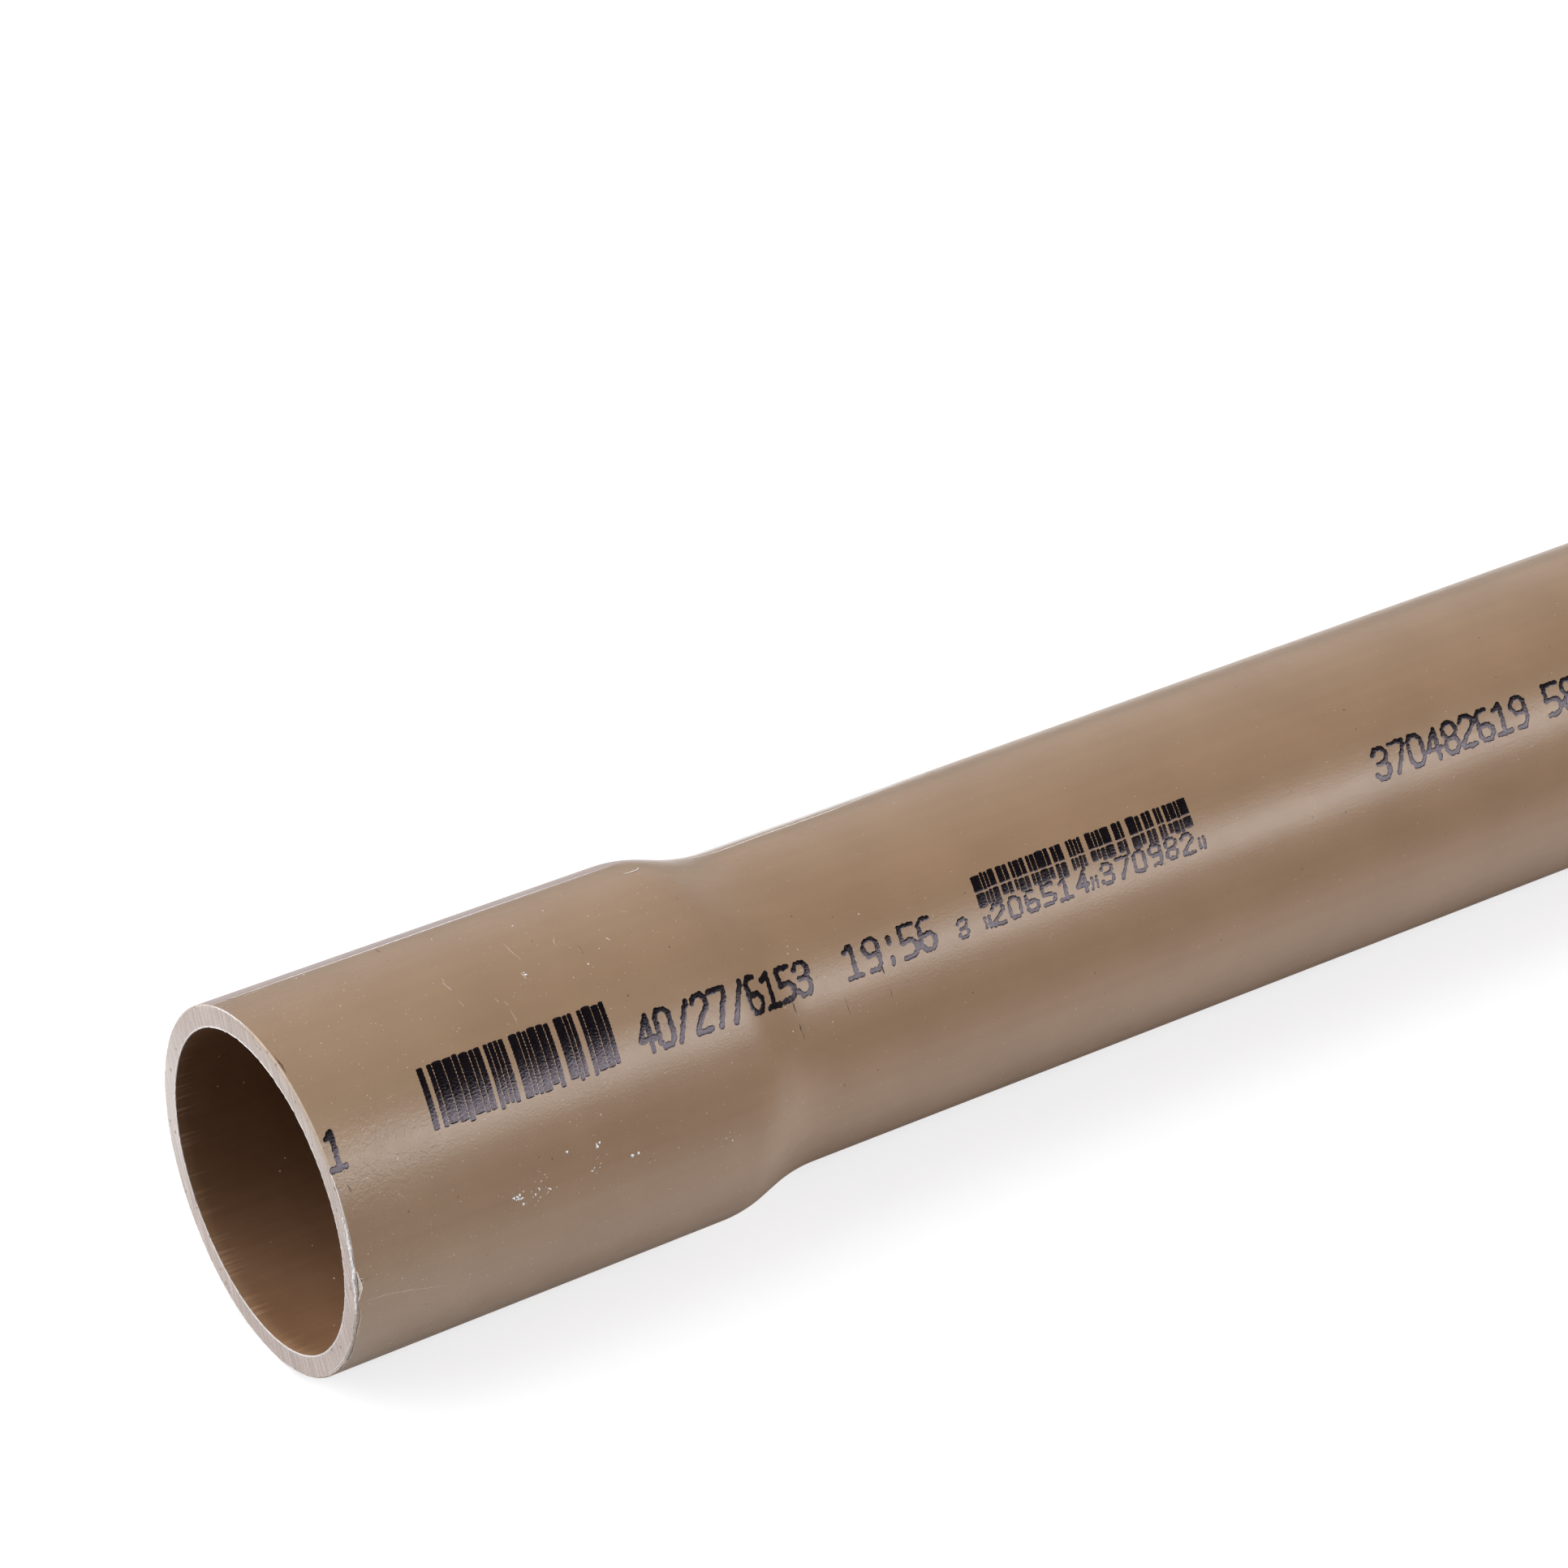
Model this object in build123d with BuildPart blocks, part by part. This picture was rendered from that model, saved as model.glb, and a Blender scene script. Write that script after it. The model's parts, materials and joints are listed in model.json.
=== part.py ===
"""A bar of brown solvent-weld PVC water pipe, 25 mm outside, with a socket formed on one end.

The pipe is extruded in one piece. One end is heated and pushed over a mandrel, which opens it
into a bell that takes the plain end of the next pipe. The bore of the socket is straight. Its
wall is pushed back and a little thicker towards the mouth, so the bell widens that way outside.
An S-shaped shoulder leads from the bell back to the pipe, and stops the pipe that is pushed in.

Frame: origin at the middle of the socket's mouth, +X along the pipe to its plain end, +Z up.
Millimetres.
"""
import os
from math import radians, tan

from build123d import *

# Pipe
PIPE_OD = 25.0
WALL = 1.7
LENGTH = 3000.0

# Socket, sized round the pipe that is pushed into it
SOCKET_DEPTH = 34.0
SOCKET_CLEARANCE = 0.12
MOUTH_WALL = 1.76
ROOT_WALL = 1.6

# Shoulder between the bell and the pipe, by its outer face
SHOULDER_ANGLE = 18.5
SHOULDER_ROUND = 9.0
NECK_ROUND = 14.5

# Both ends are sawn square, with their edges only just broken
EDGE_BREAK = 0.12

pipe_radius = PIPE_OD / 2
bore_radius = pipe_radius - WALL
socket_radius = pipe_radius + SOCKET_CLEARANCE


def wall_line(at_mouth, at_root, along_pipe, shoulder_round):
    """Corners of one face of the wall, as (x, radius), from the mouth to the plain end.

    The corner where the bell meets the shoulder stands back from the end of the socket by the
    tangent length of its round, so the round starts at the socket's depth.
    """
    slope = radians(SHOULDER_ANGLE)
    shoulder_x = SOCKET_DEPTH + shoulder_round * tan(slope / 2)
    neck_x = shoulder_x + (at_root - along_pipe) / tan(slope)
    return [(0, at_mouth), (shoulder_x, at_root), (neck_x, along_pipe), (LENGTH, along_pipe)]


# Each inner round is parallel to the outer one, a wall away
outer_rounds = (SHOULDER_ROUND, NECK_ROUND)
inner_rounds = (SHOULDER_ROUND - ROOT_WALL, NECK_ROUND + WALL)
outer_line = wall_line(
    socket_radius + MOUTH_WALL, socket_radius + ROOT_WALL, pipe_radius, outer_rounds[0]
)
inner_line = wall_line(socket_radius, socket_radius, bore_radius, inner_rounds[0])

os.makedirs("parts", exist_ok=True)

with BuildPart() as pipe:
    with BuildSketch(Plane.XZ):
        with BuildLine():
            FilletPolyline(*outer_line, radius=outer_rounds)
            FilletPolyline(*inner_line, radius=inner_rounds)
            Line(outer_line[0], inner_line[0])
            Line(outer_line[-1], inner_line[-1])
        make_face()
    revolve(axis=Axis.X)
    end_faces = pipe.faces().filter_by(Axis.X)
    chamfer(end_faces.edges(), length=EDGE_BREAK)

pipe.part.label = "pipe"
export_step(pipe.part, "parts/pipe.step")
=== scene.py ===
"""Looks of the PVC pipe: its skin, sawn rim, print and scuffs, and a plain pale studio round it."""
import json
from math import atan, cos, degrees, pi, radians, sin, tan

import bpy
import numpy as np
from mathutils import Matrix, Vector


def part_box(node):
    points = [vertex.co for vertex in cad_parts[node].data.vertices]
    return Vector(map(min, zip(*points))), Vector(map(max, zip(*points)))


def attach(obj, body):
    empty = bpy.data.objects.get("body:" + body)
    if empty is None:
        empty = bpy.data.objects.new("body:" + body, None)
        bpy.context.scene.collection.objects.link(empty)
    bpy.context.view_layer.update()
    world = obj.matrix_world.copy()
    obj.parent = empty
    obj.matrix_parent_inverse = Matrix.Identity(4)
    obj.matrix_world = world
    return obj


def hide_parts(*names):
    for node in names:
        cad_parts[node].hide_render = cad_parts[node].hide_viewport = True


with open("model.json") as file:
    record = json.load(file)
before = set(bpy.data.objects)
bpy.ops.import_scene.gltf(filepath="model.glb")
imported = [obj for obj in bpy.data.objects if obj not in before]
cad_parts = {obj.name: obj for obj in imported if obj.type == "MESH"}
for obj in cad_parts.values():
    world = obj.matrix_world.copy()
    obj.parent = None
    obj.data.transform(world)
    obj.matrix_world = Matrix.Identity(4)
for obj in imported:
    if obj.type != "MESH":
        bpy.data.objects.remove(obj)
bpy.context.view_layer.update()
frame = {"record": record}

MM = 0.001
rng = np.random.default_rng(25)

# Sizes of the pipe in mm, from the frame
mount_dims = {m["name"]: m["dims"] for m in frame["record"]["mounts"]}
pipe_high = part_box("pipe")[1] / MM
LENGTH = pipe_high.x
MOUTH_R = pipe_high.z
PIPE_R = mount_dims["spigot"]["r_mm"]
BORE_R = mount_dims["waterway"]["r_mm"]
SOCKET_R = mount_dims["socket"]["r_mm"]
SOCKET_DEPTH = mount_dims["socket"]["length_mm"]

# The wall at the socket's root, and the rounds of the shoulder by its outer face
ROOT_WALL = 1.6
SHOULDER_SLOPE = radians(18.5)
SHOULDER_ROUND = 9.0
NECK_ROUND = 14.5

# The broken edges of the sawn faces, by the skin and by the bore, and how uneven the rim's are
EDGE_BREAK = 0.12
INNER_BREAK = 0.04
OUTER_RAGGED = 0.03
INNER_RAGGED = 0.04

# Round the pipe, angles are in degrees from +Y over the top, and a mm of the plain skin is this many
DEGREES_PER_MM = degrees(1 / PIPE_R)

# Facets of the wall round the pipe
AROUND = 720

# The print repeats after so many mm, in whole repeats that stop short of the plain end
REPEAT = 600.0
BARE_END = 300.0

# Marks on the skin: the bell's far top is rubbed, with a painted sheen over the rubbing, down to a line
# torn along it at this angle, and the rubbing ends with the shoulder
RUBBED_ANGLE = 65.6
SHOULDER_END = 42.0


# Node helpers
def node(tree, kind, **values):
    """A new shader node, with its sockets and settings by name."""
    made = tree.nodes.new("ShaderNode" + kind)
    for key, value in values.items():
        name = key.replace("_", " ")
        if name in made.inputs:
            made.inputs[name].default_value = value
        else:
            setattr(made, key, value)
    return made


def link(tree, source, target):
    """Joins a result to a socket."""
    tree.links.new(source, target)


def fill(tree, socket, value):
    """Links a socket to a result, or sets it to a number or a colour."""
    if hasattr(value, "is_output"):
        link(tree, value, socket)
    elif isinstance(value, tuple):
        socket.default_value = (*value, 1)
    else:
        socket.default_value = value


def calc(tree, operation, *values):
    """A Math node on results or numbers."""
    made = node(tree, "Math", operation=operation)
    for socket, value in zip(made.inputs, values):
        fill(tree, socket, value)
    return made.outputs[0]


def times(tree, first, *others):
    """The product of several results."""
    for other in others:
        first = calc(tree, "MULTIPLY", first, other)
    return first


def ramp(tree, source, low, high, to_low=0.0, to_high=1.0):
    """A clamped, soft change of range; low may be the larger end."""
    made = node(tree, "MapRange", interpolation_type="SMOOTHSTEP")
    if low > high:
        low, high, to_low, to_high = high, low, to_high, to_low
    for name, value in zip(("From Min", "From Max", "To Min", "To Max"), (low, high, to_low, to_high)):
        made.inputs[name].default_value = value
    link(tree, source, made.inputs["Value"])
    return made.outputs[0]


def band(tree, source, start, full, fading, end):
    """1 from full to fading, and 0 before the start and past the end."""
    return times(tree, ramp(tree, source, end, fading), ramp(tree, source, start, full))


def blend(tree, first, share, second):
    """A share of the first result, and the rest of the second."""
    return calc(tree, "MULTIPLY_ADD", first, share, calc(tree, "MULTIPLY", second, 1 - share))


def mix(tree, share, first, second):
    """A mix of two colours."""
    made = node(tree, "Mix", data_type="RGBA")
    fill(tree, made.inputs[0], share)
    fill(tree, made.inputs[6], first)
    fill(tree, made.inputs[7], second)
    return made.outputs[2]


def tinted(tree, color, share, strength, tint):
    """A colour with a tint over it, which has its full strength where the share is 1."""
    return mix(tree, calc(tree, "MULTIPLY", share, strength), color, tint)


def noise(tree, vector, scale, detail=2.0, roughness=0.5):
    """A noise from 0 to 1, with so many cells a metre."""
    made = node(tree, "TexNoise", Scale=scale, Detail=detail, Roughness=roughness)
    link(tree, vector, made.inputs["Vector"])
    return made.outputs["Fac"]


def stretched(tree, vector, scale):
    """A place in cells by axis, so that a noise on it is drawn out along the pipe."""
    made = node(tree, "Mapping", Scale=scale)
    link(tree, vector, made.inputs["Vector"])
    return made.outputs[0]


def specks(tree, where, cells, share, size):
    """1 in small scattered spots: of so many cells a metre, a share has one, its size by the cell."""
    pattern = node(tree, "TexVoronoi", Scale=cells)
    link(tree, where, pattern.inputs["Vector"])
    pick = node(tree, "SeparateColor")
    link(tree, pattern.outputs["Color"], pick.inputs[0])
    reach = ramp(tree, pick.outputs[0], 1 - share, 1.0, 0.0, size)
    return calc(tree, "LESS_THAN", pattern.outputs["Distance"], reach)


def bump(tree, height, depth, strength=1.0, under=None):
    """A normal that a height from 0 to 1 raises by a depth in mm, over the normal under it."""
    made = node(tree, "Bump", Distance=depth * MM, Strength=strength)
    link(tree, height, made.inputs["Height"])
    if under is not None:
        link(tree, under, made.inputs["Normal"])
    return made.outputs[0]


def round_axis(tree, where):
    """A point's place along the axis in mm, angle in degrees from +Y over the top, and radius in mm."""
    split = node(tree, "SeparateXYZ")
    link(tree, where, split.inputs[0])
    x, y, z = split.outputs
    along = calc(tree, "MULTIPLY", x, 1 / MM)
    angle = calc(tree, "MULTIPLY", calc(tree, "ARCTAN2", z, y), degrees(1))
    square = calc(tree, "MULTIPLY_ADD", z, z, calc(tree, "MULTIPLY", y, y))
    radius = calc(tree, "MULTIPLY", calc(tree, "SQRT", square), 1 / MM)
    return along, angle, radius


def new_material(name, color, roughness, specular=0.5):
    """A material, its tree, its shader's sockets and a point's place on the object in metres."""
    material = bpy.data.materials.new(name)
    material.use_nodes = True
    tree = material.node_tree
    shader = tree.nodes["Principled BSDF"]
    shader.inputs["Base Color"].default_value = (*color, 1)
    shader.inputs["Roughness"].default_value = roughness
    shader.inputs["Specular IOR Level"].default_value = specular
    where = node(tree, "TexCoord").outputs["Object"]
    return material, tree, shader.inputs, where


# Materials; a mottled colour runs from the dark to the light shade
SKIN_DARK = (0.269, 0.166, 0.0945)
SKIN_LIGHT = (0.302, 0.19, 0.11)
# The rubbed tint is rubbed wear with a painted sheen; the pale tint after it is a painted reflection
SKIN_RUBBED_AND_SHEEN = (0.40, 0.33, 0.34)
SKIN_PAINTED_REFLECTION = (0.8, 0.77, 0.78)
# Painted light by the mouth, off the top
SKIN_PAINTED_MOUTH_LIGHT = (0.5, 0.4, 0.28)
SKIN_OF_BELL = (0.38, 0.31, 0.26)
SKIN_DUST = (0.62, 0.56, 0.5)
SKIN_PIT = (0.1, 0.05, 0.03)
# The bore's shades are darker than the skin's, to paint in the shade inside the pipe
BORE_DARK = (0.225, 0.12, 0.064)
BORE_LIGHT = (0.268, 0.147, 0.082)
BORE_EDGE = (0.46, 0.28, 0.155)
BORE_DUST = (0.72, 0.66, 0.6)
SAWN_DARK = (0.43, 0.345, 0.307)
SAWN_LIGHT = (0.71, 0.62, 0.577)
# Brown by the skin, with a painted glow of light through its edge
SAWN_BROWNED_AND_GLOW = (0.5, 0.37, 0.25)
SAWN_GLARE = (0.9, 0.86, 0.82)
SAWN_TORN = (0.85, 0.8, 0.77)
SAWN_PIT = (0.22, 0.15, 0.12)
INK_DARK = (0.0008, 0.0002, 0.0005)
INK_LIGHT = (0.0022, 0.0008, 0.0016)
INK_TINT = (1.0, 0.87, 1.0, 1)

# Bands, each as where it starts, is full, fades and ends: angles in degrees, lengths in mm
RUBBED_AND_SHEEN_ANGLES = (20, 50, RUBBED_ANGLE - 0.2, RUBBED_ANGLE + 0.3)
PAINTED_REFLECTION_ANGLES = (20, 40, 57, 64)
PAINTED_REFLECTION_LENGTH = (36, 40, 56, 66)
BROWNED_AND_GLOW_ANGLES = (70, 95, 135, 160)
GLARE_ANGLES = (-40, -5, 5, 45)


def skin_material():
    """Brown skin: cloudy, with die lines and dust, a rubbed band with painted sheen, and painted
    reflection and light.
    """
    material, tree, sockets, where = new_material("pvc_skin", (0.3, 0.18, 0.1), 0.34)
    along, angle, _ = round_axis(tree, where)
    clouds = noise(tree, where, 150.0, 4.0)
    die_lines = noise(tree, stretched(tree, where, (6, 1300, 1300)), 1.0, 3.0)
    shade = blend(tree, die_lines, 0.3, clouds)
    color = mix(tree, ramp(tree, shade, 0.3, 0.7), SKIN_DARK, SKIN_LIGHT)

    # The rubbed band on the bell, rubbed wear with a painted sheen over it, and a painted reflection of
    # the pale room along the far side past the shoulder
    rubbed_and_sheen = times(
        tree,
        band(tree, angle, *RUBBED_AND_SHEEN_ANGLES),
        ramp(tree, along, SHOULDER_END, SOCKET_DEPTH),
        ramp(tree, noise(tree, stretched(tree, where, (40, 900, 900)), 1.0, 3.0), 0.2, 0.6),
    )
    color = tinted(tree, color, rubbed_and_sheen, 0.75, SKIN_RUBBED_AND_SHEEN)
    painted_reflection = times(tree, band(tree, angle, *PAINTED_REFLECTION_ANGLES), band(tree, along, *PAINTED_REFLECTION_LENGTH))
    color = tinted(tree, color, painted_reflection, 0.7, SKIN_PAINTED_REFLECTION)

    # Painted light by the mouth, off the top, where the lamps fall off toward the mouth; and a paler
    # bell
    off_top = ramp(tree, calc(tree, "ABSOLUTE", angle), 92, 115)
    painted_mouth_light = times(tree, ramp(tree, along, 18, 6), off_top)
    color = tinted(tree, color, painted_mouth_light, 0.08, SKIN_PAINTED_MOUTH_LIGHT)
    on_bell = ramp(tree, along, SHOULDER_END, 30)
    color = tinted(tree, color, on_bell, 0.04, SKIN_OF_BELL)

    # Dust, thicker near the mouth, and dark pits
    fine = specks(tree, where, cells=1900.0, share=0.5, size=0.09)
    coarse = specks(tree, where, cells=2300.0, share=0.7, size=0.11)
    near_mouth = times(tree, coarse, ramp(tree, along, 60, 5))
    dust = calc(tree, "MAXIMUM", fine, near_mouth)
    color = tinted(tree, color, dust, 0.6, SKIN_DUST)
    pits = specks(tree, where, cells=1000.0, share=0.25, size=0.1)
    color = tinted(tree, color, pits, 0.6, SKIN_PIT)
    link(tree, color, sockets["Base Color"])

    # Gloss, and relief from die lines, blotches and grain
    worn = calc(tree, "MAXIMUM", rubbed_and_sheen, dust)
    patches = noise(tree, where, 900.0, 3.0)
    gloss = calc(tree, "MULTIPLY_ADD", patches, 0.12, calc(tree, "MULTIPLY_ADD", worn, 0.12, 0.27))
    link(tree, gloss, sockets["Roughness"])
    drawn = bump(tree, die_lines, 0.02, 0.5)
    blotches = times(tree, noise(tree, where, 3200.0, 3.0, 0.6), ramp(tree, along, 14, 2, 0.1, 1.0))
    blotched = bump(tree, blotches, 0.04, under=drawn)
    grain = noise(tree, where, 5600.0, 1.0)
    link(tree, bump(tree, grain, 0.014, under=blotched), sockets["Normal"])
    return material


def bore_material():
    """The bore: darker than the skin, which paints in the shade inside the pipe, glossier, drawn along,
    dusty, and lit up where light soaks in at the rim.
    """
    material, tree, sockets, where = new_material("pvc_bore", (0.24, 0.125, 0.062), 0.38)
    along, _, _ = round_axis(tree, where)
    clouds = noise(tree, where, 220.0, 4.0)
    die_lines = noise(tree, stretched(tree, where, (8, 1600, 1600)), 1.0, 3.0)
    shade = blend(tree, die_lines, 0.4, clouds)
    color = mix(tree, ramp(tree, shade, 0.3, 0.7), BORE_DARK, BORE_LIGHT)
    color = tinted(tree, color, ramp(tree, along, 1.1, 0.0), 0.45, BORE_EDGE)
    dust = specks(tree, where, cells=1400.0, share=0.25, size=0.11)
    color = mix(tree, dust, color, BORE_DUST)
    link(tree, color, sockets["Base Color"])
    link(tree, ramp(tree, clouds, 0.3, 0.7, 0.34, 0.44), sockets["Roughness"])
    grain = noise(tree, where, 4200.0, 2.0, 0.6)
    drawn = bump(tree, die_lines, 0.03, 0.6)
    link(tree, bump(tree, grain, 0.01, 0.8, drawn), sockets["Normal"])
    return material


# The saw's way over the faces, as (y, z), and square to it, and the streaks' cells a metre on each
SAW_STROKE = (-0.403, -0.915)
SAW_ACROSS = (0.915, -0.403)
CELLS_ALONG = 260.0
CELLS_ACROSS = 4200.0


def sawn_material():
    """A sawn face: pale and dull, streaked along the saw's strokes, browner by the outer edge with a
    painted glow there.
    """
    material, tree, sockets, where = new_material("pvc_sawn", (0.6, 0.52, 0.48), 0.62)
    _, angle, radius = round_axis(tree, where)
    saw_place = node(tree, "CombineXYZ")
    streak_ways = ((SAW_ACROSS, CELLS_ACROSS), (SAW_STROKE, CELLS_ALONG))
    for socket, (way, cells) in zip(saw_place.inputs, streak_ways):
        dot = node(tree, "VectorMath", operation="DOT_PRODUCT")
        link(tree, where, dot.inputs[0])
        dot.inputs[1].default_value = (0, way[0] * cells, way[1] * cells)
        link(tree, dot.outputs["Value"], socket)
    streaks = noise(tree, saw_place.outputs[0], 1.0, 3.0, 0.65)
    crumbs = noise(tree, where, 6500.0, 3.0, 0.6)
    shade = blend(tree, crumbs, 0.35, streaks)
    color = mix(tree, ramp(tree, shade, 0.32, 0.68), SAWN_DARK, SAWN_LIGHT)

    # Brown by the skin, with a painted glow of light through its edge on the upper side, bright where
    # the light glares, and torn by the bore
    by_skin = ramp(tree, radius, MOUTH_R - 0.6, MOUTH_R - 0.1)
    browned_and_glow = times(tree, by_skin, band(tree, angle, *BROWNED_AND_GLOW_ANGLES))
    color = tinted(tree, color, browned_and_glow, 0.6, SAWN_BROWNED_AND_GLOW)
    color = tinted(tree, color, band(tree, angle, *GLARE_ANGLES), 0.4, SAWN_GLARE)
    torn_edge = ramp(tree, radius, SOCKET_R + 0.2, SOCKET_R + 0.06)
    color = tinted(tree, color, torn_edge, 0.85, SAWN_TORN)
    pits = specks(tree, where, cells=1300.0, share=0.3, size=0.2)
    color = tinted(tree, color, pits, 0.6, SAWN_PIT)
    link(tree, color, sockets["Base Color"])
    link(tree, bump(tree, shade, 0.04, 0.8), sockets["Normal"])
    return material


def plain_material(name, dark, light, roughness, cells):
    """A material that is mottled between two shades of one colour, with a grain to match."""
    material, tree, sockets, where = new_material(name, light, roughness)
    grain = noise(tree, where, cells, 3.0, 0.6)
    link(tree, mix(tree, ramp(tree, grain, 0.35, 0.65), dark, light), sockets["Base Color"])
    link(tree, bump(tree, grain, 0.03, 0.7), sockets["Normal"])
    return material


def ink_material():
    """Black ink with a purple cast and dried grains that glint."""
    material, tree, sockets, where = new_material("ink", (0.0015, 0.0005, 0.001), 0.2, specular=0.42)
    sockets["Specular Tint"].default_value = INK_TINT
    drops = noise(tree, where, 6500.0, 2.0, 0.6)
    color = mix(tree, ramp(tree, drops, 0.3, 0.7), INK_DARK, INK_LIGHT)
    link(tree, color, sockets["Base Color"])
    link(tree, ramp(tree, drops, 0.5, 0.58, 0.24, 0.09), sockets["Roughness"])
    link(tree, bump(tree, drops, 0.019), sockets["Normal"])
    return material


skin = skin_material()
bore = bore_material()
sawn = sawn_material()
torn = plain_material("pvc_torn", (0.88, 0.86, 0.85), (0.97, 0.96, 0.95), 0.5, 5000.0)
flash = plain_material("pvc_flash", (0.6, 0.52, 0.43), (0.82, 0.75, 0.67), 0.5, 5000.0)
scraped = plain_material("pvc_scraped", (0.42, 0.34, 0.27), (0.62, 0.55, 0.48), 0.5, 6000.0)
scored = plain_material("pvc_scored", (0.04, 0.018, 0.01), (0.09, 0.045, 0.025), 0.45, 6000.0)
ink = ink_material()


# Mesh helpers, with all sizes in mm; where the bell's rings lie, and the steps of its two rounds
BELL_RINGS = (2.0, 16.0)
SHOULDER_STEPS = 10
NECK_STEPS = 12


def fillet(corner_x, corner_r, radius, start_slope, end_slope, steps):
    """Points on the arc that rounds a corner of a profile; slopes are angles from the axis."""
    turn = end_slope - start_slope
    reach = radius * tan(abs(turn) / 2)
    x = corner_x - reach * cos(start_slope)
    r = corner_r - reach * sin(start_slope)
    side = 1 if turn > 0 else -1
    centre_x = x - side * radius * sin(start_slope)
    centre_r = r + side * radius * cos(start_slope)
    slopes = np.linspace(start_slope, end_slope, steps)
    return [(centre_x + side * radius * sin(a), centre_r - side * radius * cos(a)) for a in slopes]


def wall_profile(edge_break, at_mouth, at_root, along_pipe, shoulder_round, neck_round):
    """(x, radius) along one face of the wall, from just behind the rim to just before the end."""
    shoulder_x = SOCKET_DEPTH + shoulder_round * tan(SHOULDER_SLOPE / 2)
    neck_x = shoulder_x + (at_root - along_pipe) / tan(SHOULDER_SLOPE)
    bell_slope = -atan((at_mouth - at_root) / shoulder_x)
    bell = [(x, at_mouth + x * tan(bell_slope)) for x in (edge_break, *BELL_RINGS)]
    shoulder = fillet(
        shoulder_x, at_root, shoulder_round, bell_slope, -SHOULDER_SLOPE, SHOULDER_STEPS
    )
    neck = fillet(neck_x, along_pipe, neck_round, -SHOULDER_SLOPE, 0, NECK_STEPS)
    run = [(x, along_pipe) for x in np.arange(1, LENGTH / REPEAT) * REPEAT]
    return bell + shoulder + neck + run + [(LENGTH - edge_break, along_pipe)]


def turned(x, r, angle):
    """Points in metres at a place along the axis, a radius and an angle in degrees."""
    x, r, angle = np.broadcast_arrays(x, r, np.radians(angle))
    return np.stack([x, r * np.cos(angle), r * np.sin(angle)], -1) * MM


def ragged(angles, size):
    """An uneven edge: waves of many lengths round the rim, which meet where it closes."""
    waves = np.array([9, 17, 31, 47, 71, 103, 149, 211])
    heights = size * rng.uniform(0.4, 1, len(waves)) / np.sqrt(len(waves) / 2)
    starts = rng.uniform(0, 2 * pi, len(waves))
    return (heights * np.cos(np.radians(angles)[:, None] * waves + starts)).sum(1)


def add_object(name, verts, faces, materials, face_slots=None, smooth=True):
    """A mesh object in the scene, from points in metres; face_slots picks each face's material."""
    mesh = bpy.data.meshes.new(name)
    mesh.from_pydata(np.asarray(verts).tolist(), [], np.asarray(faces).tolist())
    for material in materials:
        mesh.materials.append(material)
    if face_slots is not None:
        mesh.polygons.foreach_set("material_index", np.asarray(face_slots, np.int32))
    mesh.polygons.foreach_set("use_smooth", np.full(len(faces), smooth))
    mesh.update()
    made = bpy.data.objects.new(name, mesh)
    bpy.context.scene.collection.objects.link(made)
    return made


def piece(name, verts, faces, materials, slot, face_slots=None):
    """A piece of the part, which rides on its one body."""
    made = add_object(name, verts, faces, materials, face_slots)
    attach(made, "root")
    return made


def joined(parts):
    """The points and faces of many parts as one."""
    starts = np.cumsum([0] + [len(points) for points, _ in parts])
    faces = [faces + start for (_, faces), start in zip(parts, starts)]
    return np.concatenate([points for points, _ in parts]), np.concatenate(faces)


def tube(rings):
    """A closed tube through rings of six points."""
    count, sides = rings.shape[:2]
    ring, side = np.meshgrid(np.arange(count - 1) * sides, np.arange(sides), indexing="ij")
    after = (side + 1) % sides
    walls = np.stack([ring + side, ring + after, ring + sides + after, ring + sides + side], -1)
    last = (count - 1) * sides
    caps = [(3, 2, 1, 0), (5, 4, 3, 0)]
    caps += [(last, last + 1, last + 2, last + 3), (last, last + 3, last + 4, last + 5)]
    return rings.reshape(-1, 3), np.concatenate([walls.reshape(-1, 4), caps])


def tapered(count, tip):
    """The share of its full width that a thread has at each step, thinned to both ends."""
    return np.sqrt(np.sin(np.linspace(tip, pi - tip, count)))


# The six points of a thread's ring, as angles
SIX_WAYS = np.arange(6) * pi / 3

# The wall's materials by number, and the angle past which an edge of the wall stays sharp
ON_SKIN, ON_BORE, ON_SAWN = 0, 1, 2
SHARP_ANGLE = radians(30)


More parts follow.
